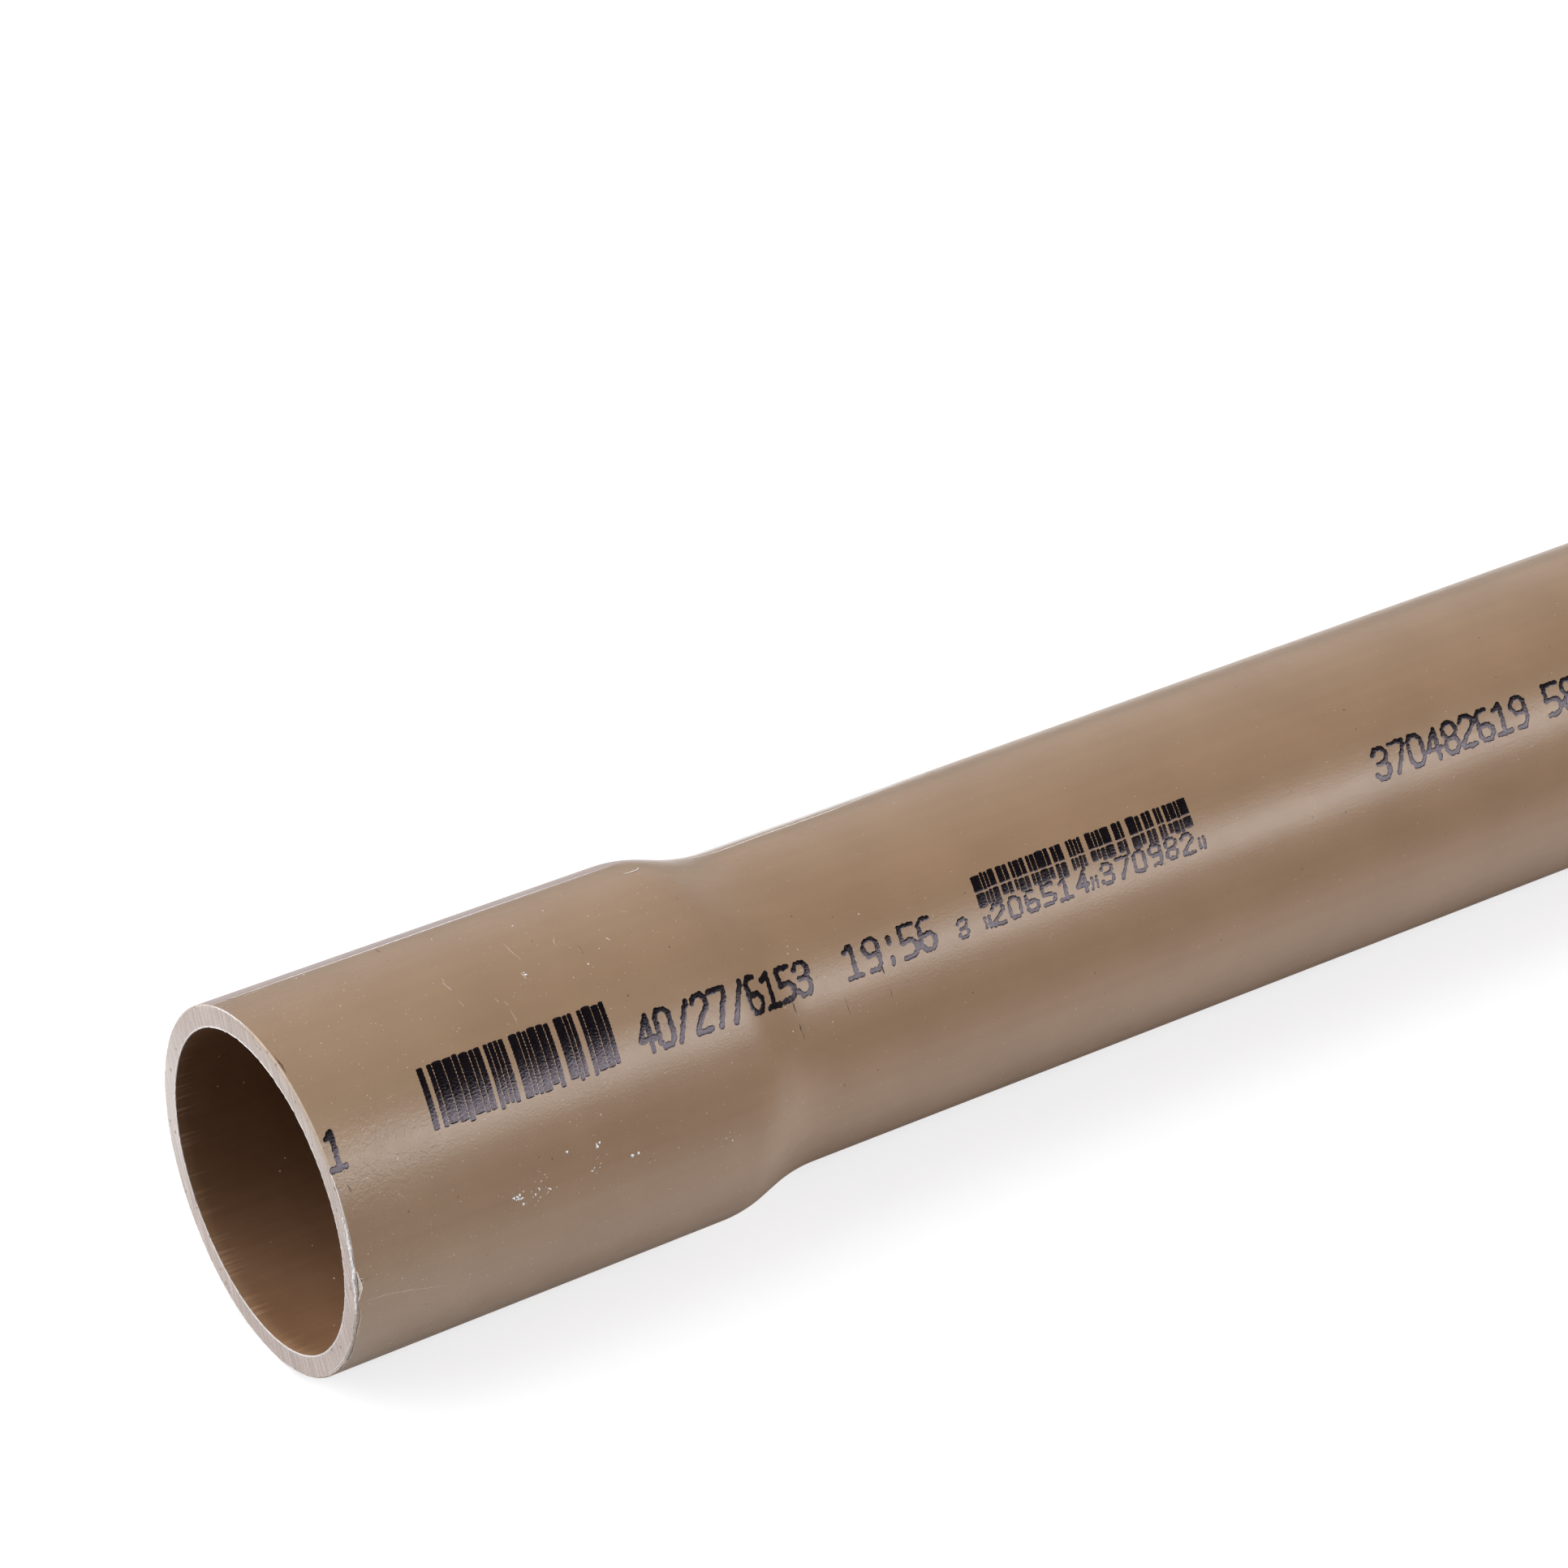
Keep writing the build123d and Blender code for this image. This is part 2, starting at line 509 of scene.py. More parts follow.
# The pipe's wall
def pipe_wall():
    """One closed mesh turned from a profile; gives back the skin's places and radii."""
    outer = wall_profile(EDGE_BREAK, MOUTH_R, SOCKET_R + ROOT_WALL, PIPE_R, SHOULDER_ROUND, NECK_ROUND)
    inner_neck_round = NECK_ROUND + PIPE_R - BORE_R
    inner_shoulder_round = SHOULDER_ROUND - ROOT_WALL
    inner = wall_profile(
        INNER_BREAK, SOCKET_R, SOCKET_R, BORE_R, inner_shoulder_round, inner_neck_round
    )
    end_face = [(LENGTH, r) for r in np.linspace(PIPE_R - EDGE_BREAK, BORE_R + INNER_BREAK, 3)]
    mouth_face = [(0, r) for r in np.linspace(SOCKET_R + INNER_BREAK, MOUTH_R - EDGE_BREAK, 3)]
    profile = np.array(outer + end_face + inner[::-1] + mouth_face)
    angles = np.arange(AROUND) * 360 / AROUND
    radii = profile[:, 1:].repeat(AROUND, 1)
    radii[-len(mouth_face)] += ragged(angles, INNER_RAGGED)
    radii[-1] += ragged(angles, OUTER_RAGGED)
    verts = turned(profile[:, :1], radii, angles)
    row = np.arange(len(profile))[:, None]
    after_row, column = (row + 1) % len(profile), np.arange(AROUND)
    after = (column + 1) % AROUND
    corners = ((row, column), (row, after), (after_row, after), (after_row, column))
    quads = np.stack([i * AROUND + j for i, j in corners], -1)
    slots = np.full(len(profile), ON_SAWN)
    slots[: len(outer) - 1] = ON_SKIN
    first_inner = len(outer) + len(end_face)
    slots[first_inner : first_inner + len(inner) - 1] = ON_BORE
    materials = [skin, bore, sawn]
    verts, quads = verts.reshape(-1, 3), quads.reshape(-1, 4)
    wall = piece("pipe_wall", verts, quads, materials, "pvc", slots.repeat(AROUND))
    wall.data.set_sharp_from_angle(angle=SHARP_ANGLE)
    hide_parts("pipe")
    return np.array(outer).T


skin_x, skin_r = pipe_wall()


def on_skin(x, angle, lift):
    """Points over the outer skin."""
    return turned(x, np.interp(x, skin_x, skin_r) + lift, angle)


# Burrs that the saw left on the rim; a thread's step from ring to ring, in degrees, and how blunt
# its tips are
EDGE_STEP = 0.4
EDGE_TIP = 0.04


def edge_thread(start, end, x, r, wide_x, wide_r):
    """A closed thread round the rim between two angles, at a place along the axis and a radius."""
    angles = np.arange(start, end, EDGE_STEP)
    swell = tapered(len(angles), EDGE_TIP)
    half_x, half_r = (w / 2 * swell * rng.uniform(0.65, 1.2, len(angles)) for w in (wide_x, wide_r))
    middle_x = x + ragged(angles, wide_x / 4)
    middle_r = r + ragged(angles, wide_r / 6)
    return tube(
        turned(
            middle_x[:, None] + half_x[:, None] * np.cos(SIX_WAYS),
            middle_r[:, None] + half_r[:, None] * np.sin(SIX_WAYS),
            angles[:, None],
        )
    )


# Each as its angles from and to, place along the axis, radius, and widths along the axis and out
RIM_THREADS = [
    (155.6, 157.8, -0.03, MOUTH_R - 0.18, 0.1, 0.24),
    (157.5, 172, -0.03, MOUTH_R - 0.15, 0.14, 0.36),
    (168, 182, -0.03, MOUTH_R - 0.12, 0.14, 0.3),
    (160, 163.5, -0.02, MOUTH_R - 0.5, 0.08, 0.09),
    (179, 189, -0.02, MOUTH_R - 0.1, 0.1, 0.22),
    (140, 158, 0.02, MOUTH_R - 0.03, 0.06, 0.06),
    (186, 229, -0.01, MOUTH_R - 0.24, 0.06, 0.07),
    (67, 88, 0.02, MOUTH_R - 0.03, 0.09, 0.09),
    (205, 306, 0.0, SOCKET_R + 0.05, 0.06, 0.1),
    (312, 384, 0.0, SOCKET_R + 0.06, 0.05, 0.13),
    (18, 160, 0.0, SOCKET_R + 0.05, 0.06, 0.1),
]
piece("rim_burrs", *joined([edge_thread(*row) for row in RIM_THREADS]), [torn], "pvc")


# Scrapes, scores and flakes on the skin; a thread's step from ring to ring, in mm, the fewest
# rings it has, and how blunt its tips are
THREAD_STEP = 0.15
FEWEST_RINGS = 5
THREAD_TIP = 0.05


def thread(width, *places, lift=0.0, wobble=0.02, rise=0.35):
    """A closed thread along places on the skin, as (x, angle), thinned to its ends."""
    route = np.array(places) / (1, DEGREES_PER_MM)
    reach = np.concatenate([[0], np.cumsum(np.hypot(*np.diff(route, axis=0).T))])
    steps = np.linspace(0, reach[-1], max(FEWEST_RINGS, int(reach[-1] / THREAD_STEP)))
    line = np.column_stack([np.interp(steps, reach, part) for part in route.T])
    line += rng.normal(0, wobble, line.shape)
    ways = np.gradient(line, axis=0)
    ways /= np.hypot(*ways.T)[:, None]
    half = width / 2 * tapered(len(line), THREAD_TIP)
    half *= rng.uniform(0.6, 1.2, len(line))
    out = half[:, None] * np.cos(SIX_WAYS)
    x = line[:, :1] - ways[:, 1:] * out
    angle = (line[:, 1:] + ways[:, :1] * out) * DEGREES_PER_MM
    return tube(on_skin(x, angle, lift + rise * half[:, None] * np.sin(SIX_WAYS)))


# The torn line on the bell and past the shoulder, as places (x, angle)
BELL_LINE = [(0.2, 65.2), (2.6, 65.6), (5.3, 65.2), (11.3, 65.7), (24.7, 65.5), (34.0, 65.8)]
PIPE_LINE = [(39.8, 65.2), (44.0, 66.2), (47.2, 65.4), (49.8, 65.8), (53.2, 65.6), (59.0, 62.0)]
ridges = [
    thread(0.08, *BELL_LINE, wobble=0.008, rise=0.8),
    thread(0.08, *PIPE_LINE, wobble=0.012, rise=0.8),
]
piece("ridges", *joined(ridges), [torn], "pvc")

scrapes = [
    thread(0.08, (2.5, 68.0), (3.8, 67.4)),
    thread(0.05, (0.3, 69.6), (0.3, 72.0), lift=0.03),
    thread(0.05, (15.0, 96.5), (15.0, 98.5)),
    thread(0.07, (14.8, 98.0), (15.0, 102.5)),
    thread(0.04, (15.0, 106.5), (15.0, 109.5)),
    thread(0.04, (21.0, 91.0), (21.0, 95.0), (21.2, 100.5)),
    thread(0.06, (18.0, 112.0), (18.2, 114.0)),
    thread(0.04, (18.1, 115.0), (18.0, 120.5)),
    thread(0.12, (20.5, 105.0), (20.6, 107.5)),
    thread(0.07, (24.6, 96.0), (24.3, 97.9), (24.3, 100.0)),
    thread(0.13, (28.0, 103.0), (28.2, 104.6)),
    thread(0.05, (28.0, 99.0), (28.0, 100.0)),
    thread(0.05, (18.8, 80.5), (18.8, 82.0)),
    thread(0.04, (28.1, 91.7), (28.1, 92.9)),
    thread(0.05, (17.5, 110.0), (17.6, 111.8)),
    thread(0.04, (30.5, 94.8), (30.7, 96.0), (31.0, 96.3)),
    thread(0.04, (25.6, 103.4), (25.7, 106.0)),
    thread(0.07, (43.0, 138.0), (43.3, 139.6)),
    thread(0.045, (0.5, 184.0), (2.2, 184.5), (4.5, 186.5), (7.5, 190.5)),
]
piece("scrapes", *joined(scrapes), [scraped], "pvc")

flashes = [
    thread(0.3, (0.1, 172.6), (0.26, 175.0), (0.34, 177.5), (0.3, 180.5), (0.12, 183.0), lift=0.05),
    thread(0.07, (0.32, 175.0), (0.62, 176.0), lift=0.08),
    thread(0.06, (0.62, 176.0), (0.44, 177.4), lift=0.08),
    thread(0.1, (0.2, 185.5), (0.38, 189.5), (0.28, 192.0), (0.22, 195.0), (0.26, 201.0), lift=0.03),
    thread(0.08, (0.26, 200.5), (0.2, 204.5), (0.2, 209.0), (0.15, 214.0), (0.1, 221.0), lift=0.03),
]
piece("rim_flash", *joined(flashes), [flash], "pvc")

LINT_LINE = [(33.5, 77.0), (33.8, 77.6), (34.5, 77.5), (34.9, 76.9), (35.0, 75.5)]
lint = thread(0.1, *LINT_LINE, lift=0.04, wobble=0.01)
piece("lint", *lint, [torn], "pvc")

scores = [
    thread(0.1, (39.8, 142.5), (39.8, 147.0), wobble=0.01),
    thread(0.13, (39.8, 150.5), (39.8, 153.5), wobble=0.01),
    thread(0.07, (39.9, 153.8), (39.9, 157.0), wobble=0.01),
    thread(0.13, (48.0, 141.5), (48.0, 145.2), wobble=0.01),
    thread(0.04, (48.1, 149.5), (48.1, 154.0), wobble=0.01),
    thread(0.04, (44.2, 147.5), (44.3, 155.0), wobble=0.01),
    thread(0.05, (1.2, 64.2), (1.9, 68.1)),
    thread(0.05, (2.5, 64.8), (3.2, 67.2)),
    thread(0.09, (13.5, 67.4), (13.4, 71.6)),
    thread(0.05, (25.7, 102.3), (25.65, 106.3)),
    thread(0.1, (0.25, 103.0), (0.3, 110.0)),
    thread(0.06, (0.9, 146.5), (1.1, 150.0)),
]
piece("scores", *joined(scores), [scored], "pvc")


# How far a flake's uneven rim, its middle and its foot lie over the skin, as shares of its size,
# and how many points its rim has
FLAKE_RIM = 0.1
FLAKE_TOP = 0.4
FLAKE_FOOT = -0.3
FLAKE_POINTS = 7


def flakes(x, angle, size):
    """Small closed crumbs that lie on the skin: an uneven rim, a raised middle and a sunk foot."""
    x, angle, size = (np.asarray(part, float)[:, None] for part in (x, angle, size))
    turn = np.arange(FLAKE_POINTS) * 2 * pi / FLAKE_POINTS
    reach = size * rng.uniform(0.45, 1.15, (len(x), FLAKE_POINTS))
    rim_angle = angle + reach * np.sin(turn) * DEGREES_PER_MM
    rim = on_skin(x + reach * np.cos(turn), rim_angle, size * FLAKE_RIM)
    top = on_skin(x, angle, size * FLAKE_TOP)
    foot = on_skin(x, angle, size * FLAKE_FOOT)
    verts = np.concatenate([rim, top, foot], 1)
    here = np.arange(FLAKE_POINTS)
    after = (here + 1) % FLAKE_POINTS
    middle = np.full(FLAKE_POINTS, FLAKE_POINTS)
    upper = np.stack([here, after, middle], -1)
    lower = np.stack([after, here, middle + 1], -1)
    fan = np.concatenate([upper, lower])
    faces = fan[None] + (np.arange(len(x)) * verts.shape[1])[:, None, None]
    return verts.reshape(-1, 3), faces.reshape(-1, 3)


# Flakes and clusters of crumbs, each as x, angle, radius, and how many lie there
CRUMBS = [
    (20.8, 162.0, 0.16, 3),
    (18.2, 161.0, 0.15, 1),
    (23.8, 169.5, 0.16, 2),
    (20.2, 169.5, 0.07, 7),
    (20.8, 166.0, 0.07, 2),
    (13.6, 169.5, 0.13, 8),
    (14.3, 169.5, 0.1, 6),
    (15.6, 170.0, 0.09, 7),
    (16.2, 170.0, 0.06, 4),
    (15.5, 166.0, 0.06, 4),
    (15.2, 174.0, 0.06, 2),
    (32.0, 177.0, 0.08, 2),
    (21.5, 154.0, 0.07, 1),
    (20.8, 105.5, 0.12, 2),
    (25.5, 110.0, 0.1, 1),
    (22.8, 84.5, 0.09, 1),
    (17.2, 75.5, 0.09, 1),
    (25.8, 82.0, 0.07, 1),
    (48.0, 122.5, 0.1, 1),
    (41.5, 126.0, 0.06, 3),
    (39.0, 152.0, 0.09, 1),
    (3.8, 181.0, 0.07, 1),
    (6.0, 184.0, 0.06, 2),
    (6.7, 68.0, 0.09, 3),
]


# How many grains of dust there are, how far from the mouth they thin out, and how far apart a
# cluster's crumbs lie
DUST_GRAINS = 700
DUST_REACH = 38
CLUSTER_REACH = 0.35


def scattered_crumbs():
    """The crumbs round each place, and fine dust that thins out from the mouth."""
    rows = []
    for x, angle, size, count in CRUMBS:
        spread = 0.0 if count == 1 else CLUSTER_REACH
        places = rng.normal(0, spread, (count, 2)) * (1, 0.5 * DEGREES_PER_MM) + (x, angle)
        rows.append(np.column_stack([places, size * rng.uniform(0.6, 1.25, count)]))
    along = np.abs(rng.normal(0, DUST_REACH, DUST_GRAINS)) + 0.3
    angles = rng.uniform(0, 360, DUST_GRAINS)
    sizes = 0.018 + rng.exponential(0.01, DUST_GRAINS)
    rows.append(np.column_stack([along, angles, sizes]))
    return np.concatenate(rows).T


piece("crumbs", *flakes(*scattered_crumbs()), [torn], "pvc")


# Ink; a place in the print is (along, up) in mm, and up runs over the plain pipe's skin to the top
LEAN = 0.13
FOOT_ANGLE = 142.6

# The film stands over the skin, reaches its full height some way in, and its edge dips below
INK_LIFT = 0.012
INK_SINK = -0.006
THIN_DEPTH = 0.01
FULL_DEPTH = 0.15

# Drops lie this far apart along a stroke, and off it by chance; a row's figures jump up and down
DROP_STEP = 0.24
DROP_JITTER = 0.025
FIGURE_JITTER = 0.03

# Strokes of the figures on a grid: each is a row of places, as column and row
GRID_COLUMNS = 4
GRID_ROWS = 6
FIGURES = {
    "0": ["10 30 41 45 36 16 05 01 10"],
    "1": ["05 26 20", "00 40"],
    "2": ["05 16 36 45 44 01 00 40"],
    "3": ["05 16 36 45 44 33 42 41 30 10 01", "13 33"],
    "4": ["30 36 02 42"],
    "5": ["46 06 03 33 42 41 30 00"],
    "6": ["36 16 05 01 10 30 41 42 33 03"],
    "7": ["06 46 45 10"],
    "8": ["13 04 05 16 36 45 44 33 13 02 01 10 30 41 42 33"],
    "9": ["10 30 41 45 36 16 05 04 13 43"],
    "/": ["00 46"],
    ":": ["21 20", "24 25"],
    "|": ["10 13", "30 33"],
}


def figure_drops(figure, along, up, width, height, size):
    """Drops (along, up, radius) laid along a figure's strokes."""
    found = []
    for stroke in FIGURES[figure]:
        places = [
            np.array([int(column) * width / GRID_COLUMNS, int(row) * height / GRID_ROWS])
            for column, row in stroke.split()
        ]
        found.append(places[0])
        for start, end in zip(places, places[1:]):
            count = max(1, round(np.hypot(*(end - start)) / DROP_STEP))
            found += [start + (end - start) * share for share in np.arange(1, count + 1) / count]
    found = np.array(found) + rng.normal(0, DROP_JITTER, (len(found), 2))
    radii = size * rng.uniform(0.84, 1.14, len(found))
    return np.column_stack([found + (along, up), radii])


def figures(text, along, up, pitch, width, height, size):
    """Drops of a row of figures."""
    rows = [
        figure_drops(
            figure, along + pitch * k, up + rng.normal(0, FIGURE_JITTER), width, height, size
        )
        for k, figure in enumerate(text)
        if figure != " "
    ]
    return np.concatenate(rows)


# The net under a film reaches this far past the drops
NET_MARGIN = 0.5


def drop_film(spots, cell):
    """A film over the drops' joined discs: a net of square cells whose edge is drawn to the discs."""
    low = spots[:, :2].min(0) - NET_MARGIN
    count = np.ceil((spots[:, :2].max(0) + NET_MARGIN - low) / cell).astype(int)
    depth = np.full(count, -1.0)
    way = np.zeros((*count, 2))
    lines = [low[k] + cell * np.arange(count[k]) for k in (0, 1)]
    grid = np.stack(np.meshgrid(*lines, indexing="ij"), -1)

    # How deep each point of the net lies in the nearest drop, and the way out of it
    for along, up, radius in spots:
        a, b = ((np.array([along, up]) - low) / cell).astype(int)
        reach = int((radius + cell) / cell) + 2
        window = np.s_[max(a - reach, 0) : a + reach + 1, max(b - reach, 0) : b + reach + 1]
        away = grid[window] - (along, up)
        far = np.hypot(away[..., 0], away[..., 1])
        inside = radius - far
        nearer = inside > depth[window]
        depth[window] = np.where(nearer, inside, depth[window])
        way[window] = np.where(nearer[..., None], away / np.maximum(far, 1e-6)[..., None], way[window])

    # Cells with ink in the middle are kept, and the points on their border move to the discs
    middle = (depth[:-1, :-1] + depth[1:, :-1] + depth[:-1, 1:] + depth[1:, 1:]) / 4
    kept = middle > 0
    around = np.zeros(count, int)
    for a in (0, 1):
        for b in (0, 1):
            around[a : count[0] - 1 + a, b : count[1] - 1 + b] += kept
    edge = (around > 0) & (around < 4)
    grid = grid + np.where(edge[..., None], way * np.clip(depth, -cell, cell)[..., None], 0)
    thickness = np.sqrt(np.clip(depth, THIN_DEPTH, FULL_DEPTH) / FULL_DEPTH)
    lift = np.where(edge, INK_SINK, INK_LIFT * thickness)
    index = np.cumsum(around.ravel() > 0).reshape(count) - 1
    a, b = np.nonzero(kept)
    faces = np.stack([index[a, b], index[a + 1, b], index[a + 1, b + 1], index[a, b + 1]], -1)
    used = around > 0
    return np.column_stack([grid[used], lift[used]]), faces


# A bar's round ends, its beaded sides, and how far in its film is full
BAR_END = 0.1
BAR_BEAD = 0.02
BAR_INSET = 0.11


def bar_film(start, end, bottom, top, step):
    """A bar of merged drops: a strip with beaded sides, round ends and sides sunk into the skin."""
    rows = np.arange(bottom, top + step / 2, step)
    ends = np.minimum(rows - bottom, top - rows)
    rounded = np.sqrt(np.clip(1 - (1 - ends / BAR_END).clip(0) ** 2, 0.04, 1))
    half = (end - start) / 2 * rounded
    sides = []
    for sign in (-1, 1):
        beads = BAR_BEAD * np.cos(2 * pi * rows / DROP_STEP + rng.uniform(0, 6))
        beads += rng.normal(0, BAR_BEAD / 2, len(rows))
        sides.append((start + end) / 2 + sign * (half + beads))
    left, right = sides
    inset = np.minimum((right - left) / 3, BAR_INSET)
    columns = np.stack([left, left + inset, right - inset, right], 1)
    lift = np.array([INK_SINK, INK_LIFT, INK_LIFT, INK_SINK])[None].repeat(len(rows), 0)
    lift[[0, -1]] = INK_SINK
    verts = np.stack([columns, rows[:, None].repeat(4, 1), lift], -1).reshape(-1, 3)
    i, j = np.meshgrid(np.arange(len(rows) - 1), np.arange(3), indexing="ij")
    first = (4 * i + j).ravel()
    return verts, np.stack([first, first + 1, first + 5, first + 4], -1)


# How unevenly bars start and stop, and the gap where a fine break crosses them
FOOT_JITTER = 0.15
TOP_JITTER = 0.03
BREAK_GAP = 0.04


def bars(start, groups, bottom, top, step, slit, breaks=()):
    """Bars in groups, each as its start and then where each of its bars ends, with slits between.

    A slit under 0 still leaves a thread of skin, because the bars' sides dip into it. Breaks are
    heights at which a fine gap crosses all the bars.
    """
    films = []
    for left, *ends in groups:
        for right in ends:
            low = bottom + rng.normal(0, FOOT_JITTER)
            for high in (*breaks, top):
                end = high + rng.normal(0, TOP_JITTER)
                films.append(bar_film(start + left, start + right - slit, low, end, step))
                low = end + BREAK_GAP
            left = right
    return films


# The first block's groups of bars, and the second block's span, widths of bars and gaps
TALL_BARS = [
    (8.55, 9.1),
    (9.4, 9.85, 10.7, 11.5, 12.0, 12.85, 13.3, 13.85),
    (14.1, 14.5, 14.95, 15.35, 15.8),
    (16.2, 16.95, 17.35, 17.75, 18.5, 19.15, 19.6),
    (20.0, 20.8, 21.2, 21.6),
    (22.0, 22.4, 23.2, 23.85, 24.3),
]
SHORT_BLOCK = (57.3, 77.6)
SHORT_WIDTHS = (0.35, 0.45, 0.6, 0.85)
SHORT_GAPS = (0.16, 0.24, 0.4)


def short_bars():
    """Groups of two to four bars all along the second block."""
    left, block_end = SHORT_BLOCK
    groups = []
    while left < block_end:
        ends = left + np.cumsum(rng.choice(SHORT_WIDTHS, rng.integers(2, 5)))
        groups.append((left, *ends))
        left = ends[-1] + rng.choice(SHORT_GAPS)
    return groups


SHORT_BARS = short_bars()

# Heights of the figures: in the main row, and under the second block
TALL = 2.35
SMALL = 1.45

# Size of the net's cells in the first repeat, which is seen up close, and in the others
FINE_CELL = 0.06
COARSE_CELL = 0.11


def print_row(start, cell):
    """All the print of one repeat: bars, rows of figures, and small figures under the second bars."""
    # A row is its text, its place along and up, its pitch, and its figures' width, height and
    # drop size; a figure by itself has no pitch
    if start:
        rows = [figures("53041", start - 6.7, 0.15, 1.6, 1.15, TALL, 0.24)]
    else:
        rows = [figure_drops("1", 0.28, 0.15, 1.0, 2.3, 0.26)]
    rows.append(figures("40/27/6153", start + 26.25, 0.12, 1.6, 1.15, TALL, 0.25))
    rows.append(figures("19:56", start + 45.15, 0.0, 1.66, 1.2, TALL, 0.24))
    rows.append(figures("3", start + 55.1, -0.1, 1.0, 0.8, 1.3, 0.19))
    for place in (57.3, 67.2, 77.3):
        rows.append(figure_drops("|", start + place, 0.0, 0.85, SMALL, 0.17))
    rows.append(figures("206514", start + 58.3, 0.0, 1.55, 0.95, SMALL, 0.2))
    rows.append(figures("370982", start + 68.4, 0.0, 1.52, 0.95, SMALL, 0.2))
    rows.append(figures("370482619 5804 72 6315 0947", start + 94.8, 0.12, 1.72, 1.25, TALL, 0.24))
    films = [drop_film(np.concatenate(rows), cell)]
    films += bars(start, TALL_BARS, bottom=0.1, top=4.35, step=cell, slit=-0.03)
    films += bars(start, SHORT_BARS, bottom=1.6, top=4.2, step=cell, slit=-0.02, breaks=(2.72,))
    points, faces = joined(films)
    along = points[:, 0] + LEAN * points[:, 1]
    return on_skin(along, FOOT_ANGLE - points[:, 1] * DEGREES_PER_MM, points[:, 2]), faces


for k in range(int((LENGTH - BARE_END) / REPEAT)):
    points, faces = print_row(k * REPEAT, FINE_CELL if k == 0 else COARSE_CELL)
    piece("print_%d" % (k + 1), points, faces, [ink], "ink")


# A lip that the saw bent out below the burr
lip = [
    edge_thread(184, 222, 0.03, MOUTH_R - 0.07, 0.14, 0.2),
    edge_thread(219, 243, 0.03, MOUTH_R - 0.08, 0.1, 0.12),
]
piece("rim_lip", *joined(lip), [scraped], "pvc")


# Stage
def switched(tree, share, off, on):
    """A shader that is one thing where a ray's share is 0 and another where it is 1."""
    made = node(tree, "MixShader")
    for socket, value in zip(made.inputs, (share, off, on)):
        link(tree, value, socket)
    return made.outputs[0]


def by_ray(tree, seen, mirrored, bounced):
    """What the camera sees, what gloss and glass show, and what lights other surfaces."""
    path = node(tree, "LightPath").outputs
    gloss = calc(tree, "MAXIMUM", path["Is Glossy Ray"], path["Is Transmission Ray"])
    return switched(tree, path["Is Camera Ray"], switched(tree, gloss, bounced, mirrored), seen)


def lit_floor(tree, surface, strength):
    """The lit floor with some light of its own added."""
    lit = node(tree, "AddShader")
    glow = node(tree, "Emission")
    fill(tree, glow.inputs["Strength"], strength)
    link(tree, surface, lit.inputs[0])
    link(tree, glow.outputs[0], lit.inputs[1])
    return lit.outputs[0]


# Where gloss sees the floor lit up, on the near and the far side: bands of y in metres
NEAR_GLOW = (-0.05, -0.028, -0.018, -0.01)
FAR_GLOW = (0.0, 0.02, 0.06, 0.1)
NEAR_STRENGTH = 0.62
FAR_STRENGTH = 0.85


def floor_material():
    """White paper to the camera, with shades of its own for gloss and for the light it throws back."""
    material, tree, sockets, where = new_material("floor", (0.5, 0.5, 0.515), 0.9, specular=0.0)
    surface = sockets["Base Color"].node.outputs[0]
    split = node(tree, "SeparateXYZ")
    link(tree, where, split.inputs[0])
    x, y, _ = split.outputs
    off_axis = calc(tree, "ABSOLUTE", y)

    # What gloss shows: dim right under the pipe and far from it, and lit up close beside it
    in_shade = ramp(tree, off_axis, 0.004, 0.012, 0.25, 1.0)
    ahead = ramp(tree, y, -0.08, -0.025, 0.2, 0.9)
    behind = ramp(tree, y, 0.25, 0.05, 0.15, 0.9)
    mirrored_color = times(tree, calc(tree, "MINIMUM", ahead, behind), in_shade)
    near = calc(tree, "MULTIPLY", band(tree, y, *NEAR_GLOW), NEAR_STRENGTH)
    far = calc(tree, "MULTIPLY", band(tree, y, *FAR_GLOW), FAR_STRENGTH)
    mirrored_paper = node(tree, "BsdfDiffuse")
    link(tree, mirrored_color, mirrored_paper.inputs["Color"])
    mirrored = lit_floor(tree, mirrored_paper.outputs[0], calc(tree, "ADD", near, far))

    # What lights the pipe, which is dim before the mouth
    bounced = node(tree, "BsdfDiffuse")
    dim = mix(tree, ramp(tree, x, -0.03, 0.03), (0.12, 0.12, 0.12), (0.54, 0.51, 0.53))
    link(tree, dim, bounced.inputs["Color"])

    # What the camera sees: some light of its own, stronger away from the pipe
    half_length = LENGTH * MM / 2
    off_middle = calc(tree, "ABSOLUTE", calc(tree, "SUBTRACT", x, half_length))
    away = calc(tree, "MAXIMUM", off_axis, calc(tree, "SUBTRACT", off_middle, half_length))
    glow = ramp(tree, away, 0.15, 0.6, 0.66, 0.84)
    seen = by_ray(tree, lit_floor(tree, surface, glow), mirrored, bounced.outputs[0])
    link(tree, seen, tree.nodes["Material Output"].inputs["Surface"])
    return material


# The floor's half side in metres; it leans so that it touches both the bell and the plain end
HALF_FLOOR = 30.0
corners = [(x * HALF_FLOOR, y * HALF_FLOOR, 0) for x, y in ((-1, -1), (1, -1), (1, 1), (-1, 1))]
floor = add_object("floor", corners, [(0, 1, 2, 3)], [floor_material()], smooth=False)
floor.location = (0, 0, -MOUTH_R * MM)
floor.rotation_euler = (0, -atan((MOUTH_R - PIPE_R) / LENGTH), 0)


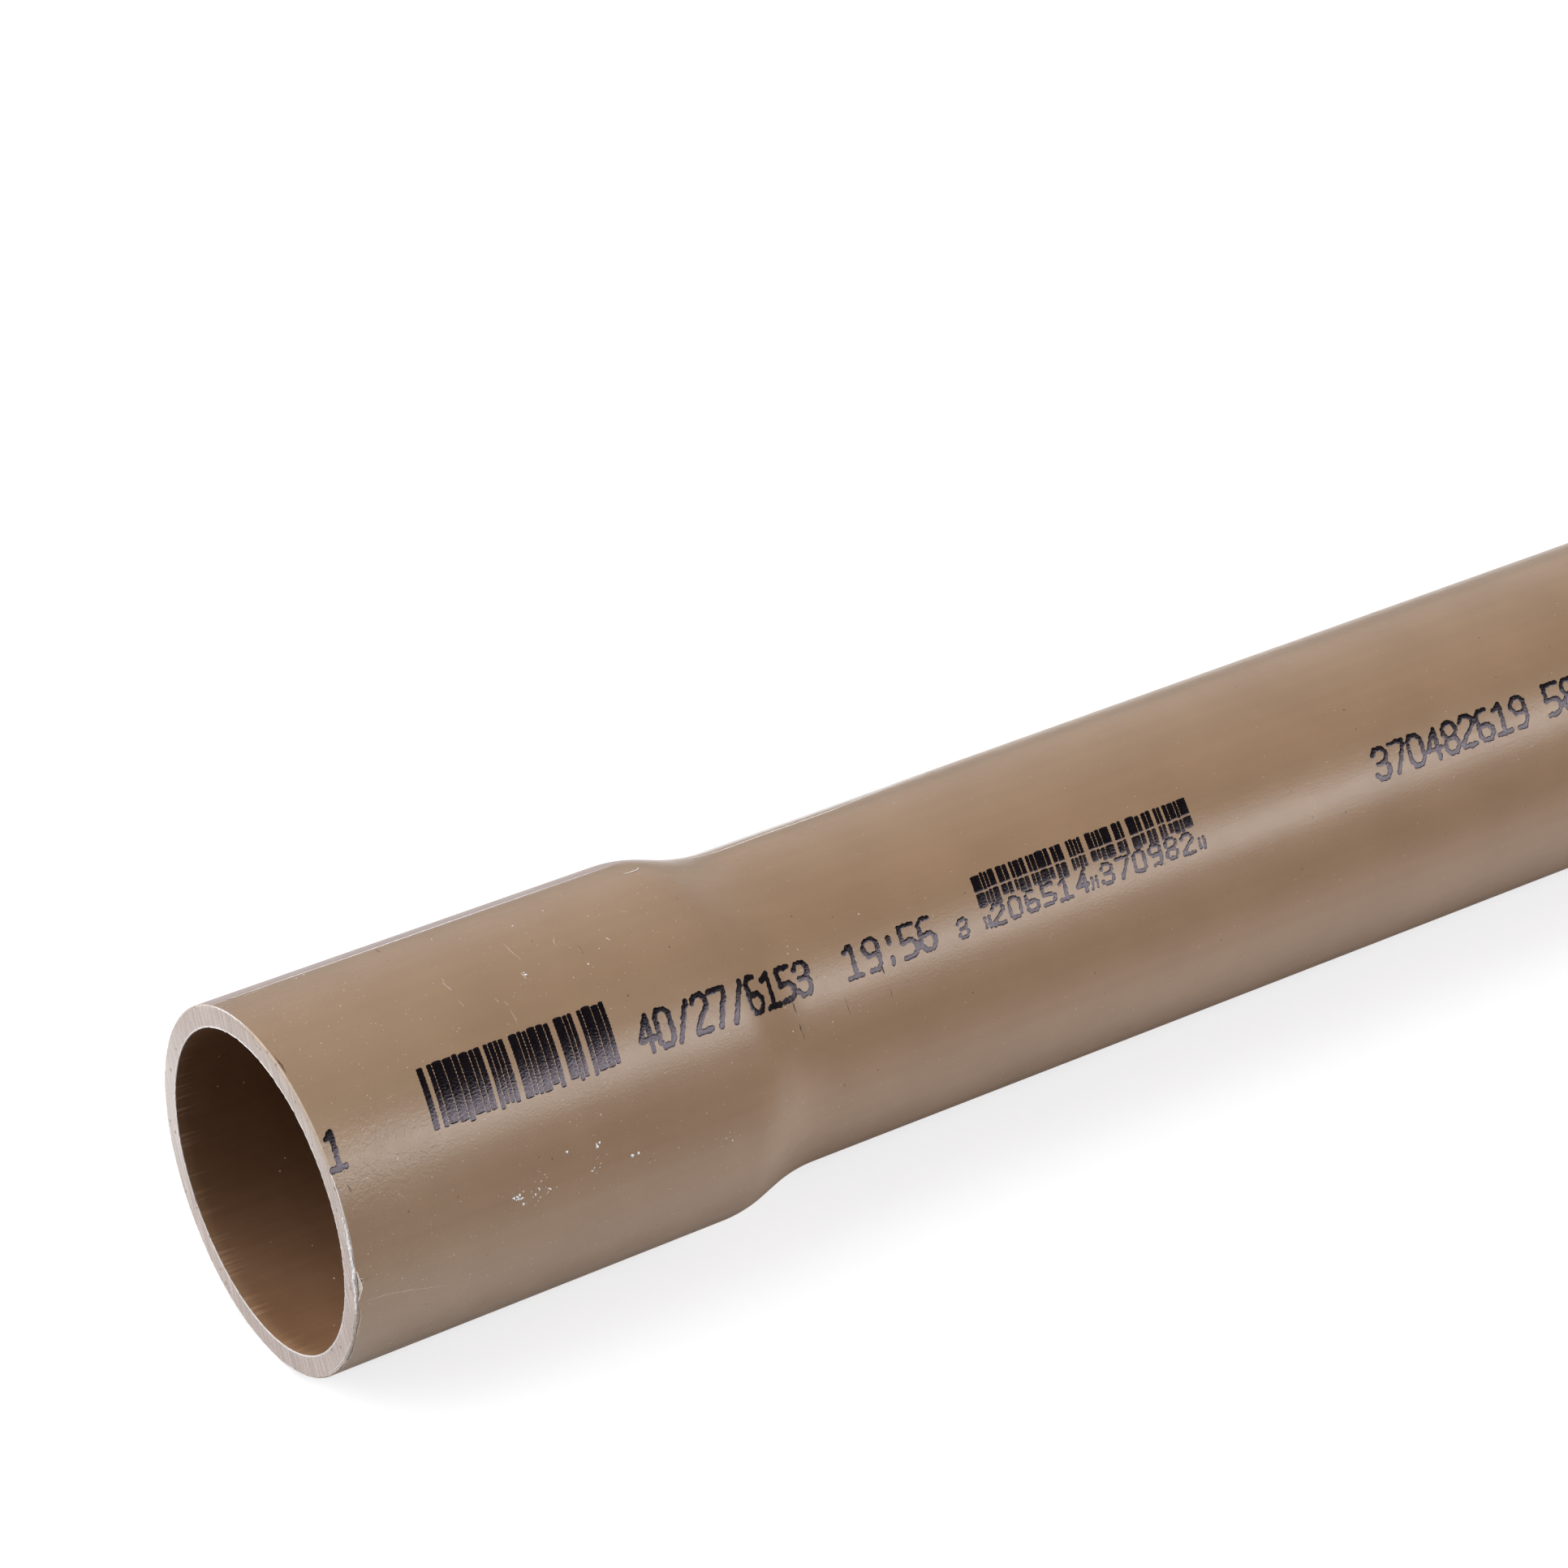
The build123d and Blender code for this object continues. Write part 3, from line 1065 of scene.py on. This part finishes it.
def studio_world():
    """White to the camera; soft light from above; and gloss that sees a room darker on the near side."""
    world = bpy.data.worlds.new("studio")
    bpy.context.scene.world = world
    world.use_nodes = True
    tree = world.node_tree
    split = node(tree, "SeparateXYZ")
    link(tree, node(tree, "TexCoord").outputs["Generated"], split.inputs[0])
    x, y, z = split.outputs
    white = node(tree, "Background", Color=(1, 1, 1, 1))
    mirrored = node(tree, "Background", Color=(1, 1, 1, 1))
    bounced = node(tree, "Background", Color=(0.97, 0.985, 1.05, 1))
    link(tree, ramp(tree, y, -0.3, 0.8, 0.1, 1.0), mirrored.inputs["Strength"])

    # The light on the pipe comes from above, with less of it from before the mouth
    above = times(
        tree,
        ramp(tree, z, -0.1, 1.0, 0.05, 0.52),
        ramp(tree, x, -0.9, -0.1, 0.1, 1.0),
        ramp(tree, y, -0.8, 0.1, 0.5, 1.0),
    )
    link(tree, above, bounced.inputs["Strength"])
    seen = by_ray(tree, white.outputs[0], mirrored.outputs[0], bounced.outputs[0])
    link(tree, seen, tree.nodes["World Output"].inputs["Surface"])


studio_world()


def softbox(name, direction, distance, size_x, size_y, power, glossy=True, aim_x=0.06, spread=180):
    """An area lamp that faces the pipe at aim_x, with its first side along the pipe."""
    lamp = bpy.data.lights.new(name, "AREA")
    lamp.shape = "RECTANGLE"
    lamp.size, lamp.size_y = size_x, size_y
    lamp.energy = power
    lamp.spread = radians(spread)
    made = bpy.data.objects.new(name, lamp)
    bpy.context.scene.collection.objects.link(made)
    out = Vector(direction).normalized()
    up = out.cross(Vector((1, 0, 0))).normalized()
    across = up.cross(out)
    made.location = Vector((aim_x, 0, 0)) + out * distance
    made.rotation_euler = Matrix((across, up, out)).transposed().to_euler()
    made.visible_glossy = glossy


# Each lamp as its direction, distance, sides along and across the pipe, and power
softbox("overhead", (-0.65, 0.3, 0.85), 1.3, 1.6, 1.4, 14.2, glossy=False)
softbox("mouth", (-1, 0.48, 0.3), 1.2, 0.8, 0.8, 7.4, glossy=False)
softbox("strip", (0.41, -0.73, 0.55), 1.2, 1.0, 0.34, 8.3)
softbox("fill", (0.6, -0.8, 0.14), 1.2, 1.0, 0.3, 1.2, glossy=False)

# Lamps over the rest of the pipe, narrow enough to leave its near end alone
ROW_START = 1.15
ROW_PITCH = 0.8
ROW_SPREAD = 60
for k in range(3):
    over = ROW_START + ROW_PITCH * k
    lamp_name = "row_%d" % (k + 1)
    softbox(
        lamp_name, (0, 0.3, 0.85), 1.2, 0.9, 0.9, 1.6, glossy=False, aim_x=over, spread=ROW_SPREAD
    )


# Camera, where the photograph was taken from
AIM = Vector((0.0409, -0.0074, 0.025))
AZIMUTH, ELEVATION, DISTANCE = radians(-33.08), radians(32.85), 0.4444
lens = bpy.data.cameras.new("camera")
lens.sensor_width = 36.0
lens.lens = 140.0
lens.clip_start, lens.clip_end = 0.01, 200
camera = bpy.data.objects.new("camera", lens)
bpy.context.scene.collection.objects.link(camera)
ahead = Vector((-sin(AZIMUTH) * cos(ELEVATION), cos(AZIMUTH) * cos(ELEVATION), -sin(ELEVATION)))
camera.location = AIM - ahead * DISTANCE
camera.rotation_euler = (pi / 2 - ELEVATION, 0, AZIMUTH)
bpy.context.scene.camera = camera
bpy.context.scene.view_settings.view_transform = "Standard"
